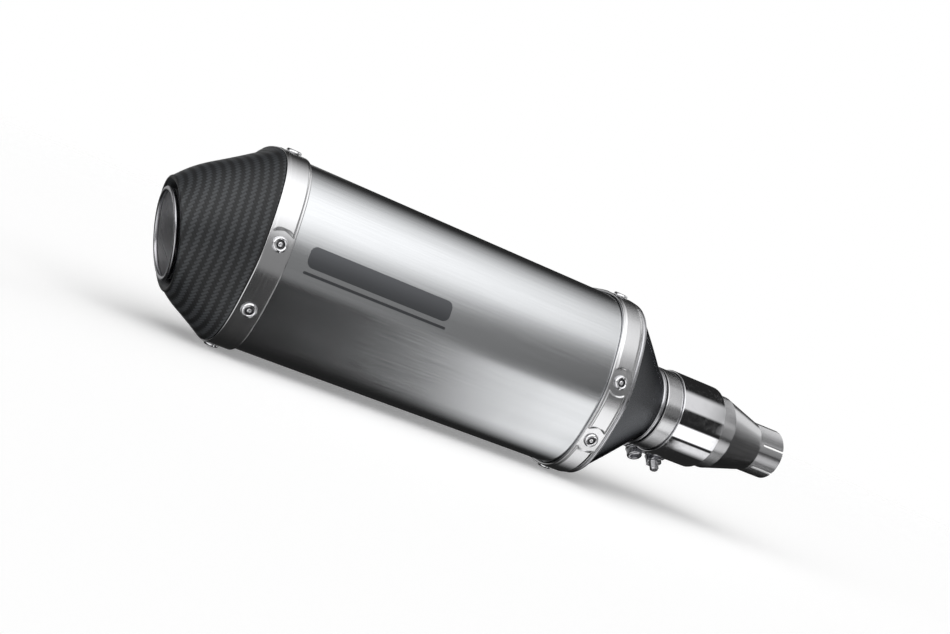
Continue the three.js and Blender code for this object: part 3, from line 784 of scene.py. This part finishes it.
NUT_PROFILE = [
    (3.32, 0.35), (3.7, 0.02), (4.6, 0.0), (chamfered(10, 4.98), 0.04), (chamfered(10, 5.4), 0.28),
    (hexagon(10), 0.62), (hexagon(10), NUT - 0.62), (chamfered(10, 5.4), NUT - 0.28),
    (chamfered(10, 4.98), NUT - 0.04), (4.6, NUT), (3.7, NUT - 0.02), (3.32, NUT - 0.35),
]
WASHER_PROFILE = [(3.35, 0.12), (3.47, 0), (5.45, 0), (5.58, 0.12), (5.6, 0.3), (5.6, WASHER - 0.3),
                  (5.58, WASHER - 0.12), (5.45, WASHER), (3.47, WASHER), (3.35, WASHER - 0.12)]


def turned(name, profile, count):
    """Ring of revolution about local Z from a closed profile whose radii may vary with the angle."""
    theta = angles(count)
    rings = []
    for radius, height in profile:
        r = radius(theta) if callable(radius) else np.full(count, float(radius))
        rings.append(np.stack([r * np.cos(theta), r * np.sin(theta), np.full(count, float(height))], -1))
    return loft(name, rings)


for k, x in enumerate(BOLT_X):
    side = 1 if k == 0 else -1
    axis = (0, side, 0)
    seat = Vector((x, 0, BOLT_R))
    parts = [
        (spin(f"clamp_screw_{k + 1}", bolt_profile(), 120), 0, "clamp", f"clamp_bolt_{k + 1}", 12),
        (turned(f"clamp_hex_nut_{k + 1}", NUT_PROFILE, 72), -HEAD - NUT, f"nut_{k + 1}",
         f"clamp_nut_{k + 1}", 20),
        (turned(f"washer_{2 * k + 1}", WASHER_PROFILE, 56), WASHER_FACE, "clamp",
         f"clamp_washer_{2 * k + 1}", 0),
        (turned(f"washer_{2 * k + 2}", WASHER_PROFILE, 56), -WASHER_FACE - WASHER, "clamp",
         f"clamp_washer_{2 * k + 2}", 0),
    ]
    for mesh, height, body, node, turn in parts:
        placed(mesh, seat + Vector(axis) * height, axis, turn)
        mesh.transform(CLAMP_TURN)
        piece(mesh, body, "fastener_steel", FASTENER.material, node)

# ---------------------------------------------------------------- outlet tube and end plate
T = angles(160)
BEND_X, BEND_R = -390, 45
TUBE_R, TUBE_INNER_R = 24.4, 23.0


def bend_ring(share, radius, theta):
    angle = TILT * share
    centre = np.array([BEND_X - BEND_R * math.sin(angle), 0, -BEND_R * (1 - math.cos(angle))])
    up = np.array([-math.sin(angle), 0, math.cos(angle)])
    return (centre + (radius * np.cos(theta))[:, None] * np.array([0, -1.0, 0])
            + (radius * np.sin(theta))[:, None] * up)


outer_r, inner_r = np.full(T.shape, TUBE_R), np.full(T.shape, TUBE_INNER_R)
rings = [around(-373, 24.25, T), around(-373.15, 24.4, T)]
rings += [bend_ring(s, outer_r, T) for s in np.linspace(0, 1, 9)]
lip = [(2.2, 24.4), (1.5, 24.55), (0.95, 24.95), (0.5, 25.4), (0.0, 25.65), (-0.45, 25.62), (-0.85, 25.35),
       (-1.12, 24.9), (-1.2, 24.4), (-1.12, 23.9), (-0.85, 23.45), (-0.4, 23.15), (0.3, 23.02), (1.2, 23.0)]
rings += [outlet_ring(depth, radius, T) for depth, radius in lip]
rings += [bend_ring(s, inner_r, T) for s in np.linspace(1, 0, 9)]
rings += [around(-373.15, 23.0, T), around(-373, 23.15, T)]
mesh = loft("outlet_pipe", rings)
piece(mesh, "silencer", "tube_steel", [TUBE.material, LIP.material], "outlet_tube")
first_lip_row = 11
for face in mesh.polygons:
    if first_lip_row <= face.index // len(T) < first_lip_row + len(lip) - 1:
        face.material_index = 1

rings = [body_ring(-378, -5.2, T), body_ring(-377.8, -5.0, T), body_ring(-376.2, -5.0, T),
         body_ring(-376, -5.2, T), around(-376, 24.9, T), around(-376.2, 24.7, T), around(-377.8, 24.7, T),
         around(-378, 24.9, T)]
piece(loft("end_plate", rings), "silencer", "tube_steel", TUBE.material, "rear_end_plate")

# ---------------------------------------------------------------- carbon cap
T = angles(320)
CAP_EDGE = 31.9


def cap_swell(theta, share):
    height = 0.8 + 1.4 * np.maximum(0, np.sin(theta)) ** 2
    step = 2.2 * smooth(theta, 1.1, 1.9) * (1 - smooth(theta, 2.9, 3.14))
    step = step * math.exp(-share / 0.35) * float(smooth(share, 0, 0.06))
    return height * math.sin(PI * share ** 2.4) - step


cap_base = body_ring(-390.9, -0.4, T)
cap_lip = outlet_ring(2.4, CAP_EDGE, T)
cap_inner_base = body_ring(-392.6, -2.3, T)
cap_inner_lip = outlet_ring(4.2, CAP_EDGE - 1.9, T)
rings = [body_ring(x, offset, T) for x, offset in ((-374.2, -3.0), (-390.9, -3.0), (-390.9, -0.75))]
rings.append(body_ring(-391.0, -0.48, T))
for share in np.concatenate([[0.012, 0.03, 0.05], np.linspace(0.075, 0.965, 44)]):
    rings.append(push(cap_base * (1 - share) + cap_lip * share, cap_swell(T, share), T))
rings += [outlet_ring(d, r, T) for d, r in (
    (2.4, CAP_EDGE), (1.85, 31.85), (1.4, 31.65), (1.1, 31.3), (0.93, 30.9), (0.9, 30.45), (1.02, 30.0),
    (1.3, 29.5), (1.75, 29.0), (2.3, 28.5), (2.95, 27.9), (3.7, 27.2), (4.6, 26.65), (5.6, 26.3), (6.6, 26.3),
    (7.1, 26.5), (7.2, 26.8), (6.0, 27.6), (4.8, 28.8))]
rings.append(cap_inner_lip)
for share in (0.85, 0.65, 0.45, 0.25, 0.08):
    rings.append(push(cap_inner_base * (1 - share) + cap_inner_lip * share, cap_swell(T, share) - 0.1, T))
rings += [cap_inner_base, body_ring(-391.6, -4.6, T), body_ring(-374.2, -4.6, T), body_ring(-374, -4.4, T),
          body_ring(-374, -3.2, T)]
piece(loft("carbon_cap", rings, sharp=50), "silencer", "carbon", CARBON.material, "carbon_end_cap")

# ---------------------------------------------------------------- baffle
T = angles(128)
rings = [outlet_ring(d, r, T) for d, r in (
    (16.15, 13.0), (16, 13.2), (16, 21.3), (16.15, 21.9), (16.5, 22.4), (17.0, 22.6), (26.85, 22.6),
    (27, 22.45), (27, 21.55), (26.85, 21.4), (18.2, 21.4), (17.75, 21.2), (17.6, 20.8), (17.6, 13.8),
    (17.4, 13.4), (16.9, 13.0))]
piece(loft("baffle_ring", rings), "baffle", "tube_steel", TUBE.material, "baffle_flange")
rings = [outlet_ring(d, r, T) for d, r in (
    (17.95, 13.25), (18.1, 13.4), (55.85, 13.4), (56, 13.25), (56, 12.35), (55.85, 12.2), (14.3, 12.2),
    (14.05, 12.3), (14, 12.45), (14.05, 12.6), (14.3, 12.65), (17.95, 12.65))]
piece(loft("baffle_pipe", rings), "baffle", "tube_steel", TUBE.material, "baffle_tube")
rings = [outlet_ring(d, r, T) for d, r in (
    (14.2, 22.45), (14.35, 22.6), (15.25, 22.6), (15.4, 22.45), (15.4, 21.05), (15.25, 20.9), (14.35, 20.9),
    (14.2, 21.05))]
piece(loft("circlip", rings), "baffle", "spring_steel", DARK_STEEL_AND_RIVET_SHADE.material, "baffle_circlip")

# ---------------------------------------------------------------- hidden inside pieces keep their CAD shape
WOOL = Nodes("steel_wool")
tangle = WOOL.noise(WOOL.place(), 900.0, 6.0, 0.7)
WOOL.set(color=WOOL.mix(tangle, (0.12, 0.12, 0.12), (0.5, 0.5, 0.5)), metal=0.9, rough=0.45)
WOOL.bump(tangle, 0.0004)
FIBRE = Nodes("packing_fibre")
strand = FIBRE.noise(FIBRE.stretch(FIBRE.place(), (120.0, 700.0, 700.0)), 1.0, 5.0, 0.7)
FIBRE.set(color=FIBRE.mix(strand, (0.52, 0.47, 0.36), (0.86, 0.82, 0.70)), metal=0.0, rough=0.95, sheen=0.3)
FIBRE.bump(strand, 0.0006)
for node, look in (("perforated_core", TUBE), ("steel_wool_wrap", WOOL), ("packing", FIBRE)):
    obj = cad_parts[node]
    obj.data.materials.clear()
    obj.data.materials.append(look.material)

# ---------------------------------------------------------------- floor, light, camera
floor_mesh = bpy.data.meshes.new("floor")
span = 2.6
BODY_MIDDLE = -0.2
floor_z = cad_low.z - 0.0006
corners = [(-1, -1), (1, -1), (1, 1), (-1, 1)]
floor_mesh.from_pydata([(BODY_MIDDLE + x * span, y * span, floor_z) for x, y in corners], [], [(0, 1, 2, 3)])
floor = bpy.data.objects.new("floor", floor_mesh)
bpy.context.scene.collection.objects.link(floor)
FLOOR = Nodes("floor_pale")
FLOOR.set(color=(0.94, 0.94, 0.94), metal=0.0, rough=1.0, specular=0.0)
FLOOR.shader.inputs["Emission Color"].default_value = (1, 1, 1, 1)
FLOOR.shader.inputs["Emission Strength"].default_value = 0.22
distance = FLOOR.add("ShaderNodeVectorMath", operation="DISTANCE")
FLOOR.link(FLOOR.place(), distance.inputs[0])
distance.inputs[1].default_value = (BODY_MIDDLE, 0, floor_z)
fade = FLOOR.rise(distance.outputs["Value"], 0.7, 2.2)
rays = FLOOR.add("ShaderNodeLightPath")
under = FLOOR.add("ShaderNodeNewGeometry").outputs["Backfacing"]
hidden = FLOOR.math("MAXIMUM", FLOOR.math("MAXIMUM", fade, under), rays.outputs["Is Glossy Ray"])
clear = FLOOR.add("ShaderNodeBsdfTransparent")
blend = FLOOR.add("ShaderNodeMixShader")
FLOOR.link(hidden, blend.inputs[0])
FLOOR.link(FLOOR.shader.outputs[0], blend.inputs[1])
FLOOR.link(clear.outputs[0], blend.inputs[2])
FLOOR.link(blend.outputs[0], FLOOR.tree.nodes["Material Output"].inputs["Surface"])
floor_mesh.materials.append(FLOOR.material)

# The studio is a pattern of soft boxes painted on the world: a large one overhead, a dim wall in front,
# a low box at the front right, a weak one at the far left and a soft wall behind. A direction is given by
# its share along X and its turn round X, and the boxes for each stretch of the pipe have their own range.
STUDIO = Nodes("studio", world=True)
bpy.context.scene.world = STUDIO.material
east, north, height = STUDIO.split(STUDIO.add("ShaderNodeTexCoord").outputs["Generated"])
south = STUDIO.math("MULTIPLY", north, -1.0)
around_x = STUDIO.math("MULTIPLY", STUDIO.math("ARCTAN2", height, south), 180 / PI)


def panel(level, x, turn, soft_x=(0.01, 0.01), soft_turn=(3.0, 3.0)):
    """A soft-edged patch of light; x is its range along X, turn its range round X in degrees."""
    parts = []
    for value, (start, end), (first, last) in ((east, x, soft_x), (around_x, turn, soft_turn)):
        if start is not None:
            parts.append(STUDIO.rise(value, start - first, start + first))
        if end is not None:
            parts.append(STUDIO.fall(value, end - last, end + last))
    return STUDIO.product(*parts, level)


CLAMP_X, PIPE_X, CONE_X, FRONT_X = 0.555, 0.600, 0.70, 0.905
edge = STUDIO.remap(east, 0.33, 0.53, 25.0, 29.0)
over = STUDIO.math("SUBTRACT", around_x, edge)
beside_pipe = STUDIO.product(STUDIO.rise(east, 0.582, 0.592), STUDIO.fall(east, 0.62, 0.66))
lights = [
    # the body: overhead box, dim wall, low box at the front right
    STUDIO.product(STUDIO.rise(over, -3.5, 3.5), STUDIO.fall(around_x, 45.0, 145.0),
                   STUDIO.fall(east, CLAMP_X - 0.01, CLAMP_X), STUDIO.remap(east, 0.3, 0.55, 1.75, 1.2)),
    STUDIO.product(STUDIO.rise(around_x, -22.0, -15.0), STUDIO.fall(over, -3.5, 3.5),
                   STUDIO.fall(east, 0.51, 0.56), 0.26),
    panel(1.75, (0.463, CLAMP_X), (-92.0, -19.0), (0.035, 0.01), (34.0, 4.0)),
    panel(1.20, (None, 0.0), (-70.0, -10.0), (0.2, 0.25), (40.0, 25.0)),
    panel(0.012, (0.0, 0.45), (-100.0, -19.0), (0.2, 0.05), (30.0, 4.0)),
    # the clamp and collar
    panel(0.78, (CLAMP_X, PIPE_X), (35.0, 86.0), (0.005, 0.02), (4.0, 9.0)),
    panel(1.35, (CLAMP_X, PIPE_X), (-46.0, -9.0), (0.005, 0.003), (2.0, 2.5)),
    panel(0.90, (0.575, PIPE_X), (-80.0, -55.0), (0.003, 0.003), (12.0, 2.0)),
    # the pipe beyond the clamp
    panel(1.15, (PIPE_X, CONE_X), (88.0, 148.0), (0.003, 0.03), (22.0, 4.0)),
    panel(0.55, (PIPE_X, CONE_X), (3.0, 45.0), (0.003, 0.03), (5.0, 14.0)),
    panel(0.55, (PIPE_X, CONE_X), (-44.0, -14.0), (0.003, 0.03), (10.0, 6.0)),
    # its cone
    panel(1.05, (0.73, FRONT_X), (93.0, 142.0), (0.02, 0.01), (7.0, 5.0)),
    panel(0.50, (0.73, FRONT_X), (28.0, 93.0), (0.02, 0.01), (6.0, 7.0)),
    panel(0.14, (0.73, FRONT_X), (5.0, 28.0), (0.02, 0.01), (6.0, 6.0)),
    panel(0.10, (0.73, FRONT_X), (-55.0, 5.0), (0.02, 0.01), (10.0, 6.0)),
    # the front cone
    panel(1.10, (FRONT_X, None), (-128.0, -85.0), (0.01, 0.01), (6.0, 6.0)),
    panel(0.50, (0.86, None), (-150.0, -128.0), (0.01, 0.01), (6.0, 6.0)),
    panel(0.35, (FRONT_X, None), (85.0, 115.0), (0.01, 0.01), (6.0, 6.0)),
    panel(0.25, (0.86, None), (115.0, 145.0), (0.01, 0.01), (6.0, 6.0)),
    panel(0.45, (0.955, None), (-85.0, 85.0), (0.01, 0.01), (6.0, 6.0)),
    panel(0.08, (0.73, None), (145.0, None), (0.02, 0.01), (6.0, 1.0)),
    panel(0.08, (0.73, None), (None, -150.0), (0.02, 0.01), (1.0, 6.0)),
    # the far side
    STUDIO.product(STUDIO.rise(STUDIO.math("ABSOLUTE", around_x), 155.0, 170.0), 0.45,
                   STUDIO.total(STUDIO.fall(east, 0.28, 0.36), beside_pipe)),
]
STUDIO.link(STUDIO.total(*lights, 0.02), STUDIO.shader.inputs["Strength"])
STUDIO.shader.inputs["Color"].default_value = (1, 1, 1, 1)
seen = STUDIO.add("ShaderNodeBackground")
seen.inputs["Color"].default_value = (1, 1, 1, 1)
seen.inputs["Strength"].default_value = 1.0
choose = STUDIO.add("ShaderNodeMixShader")
STUDIO.link(STUDIO.add("ShaderNodeLightPath").outputs["Is Camera Ray"], choose.inputs[0])
STUDIO.link(STUDIO.shader.outputs[0], choose.inputs[1])
STUDIO.link(seen.outputs[0], choose.inputs[2])
STUDIO.link(choose.outputs[0], STUDIO.tree.nodes["World Output"].inputs["Surface"])

# Camera, looking square to X, raised by delta, then turned by yaw and rolled.
delta, roll, yaw = (math.radians(degrees) for degrees in (2.5, 22.22, 26.4))
X = Vector((1, 0, 0))
v = Vector((0, math.sin(delta), math.cos(delta)))
w = Vector((0, -math.cos(delta), math.sin(delta)))
EYE = -0.6354 * X + 0.0111 * v + 0.799 * w
right = math.cos(roll) * math.cos(yaw) * X + math.sin(roll) * v + math.cos(roll) * math.sin(yaw) * w
up = -math.sin(roll) * math.cos(yaw) * X + math.cos(roll) * v - math.sin(roll) * math.sin(yaw) * w
back = right.cross(up)
lens = bpy.data.cameras.new("camera")
lens.sensor_width = 36
lens.lens = 56.84
camera = bpy.data.objects.new("camera", lens)
bpy.context.scene.collection.objects.link(camera)
turn = Matrix((right, up, back)).transposed().to_4x4()
camera.matrix_world = Matrix.Translation(EYE) @ turn
bpy.context.scene.camera = camera
bpy.context.scene.view_settings.view_transform = "Standard"
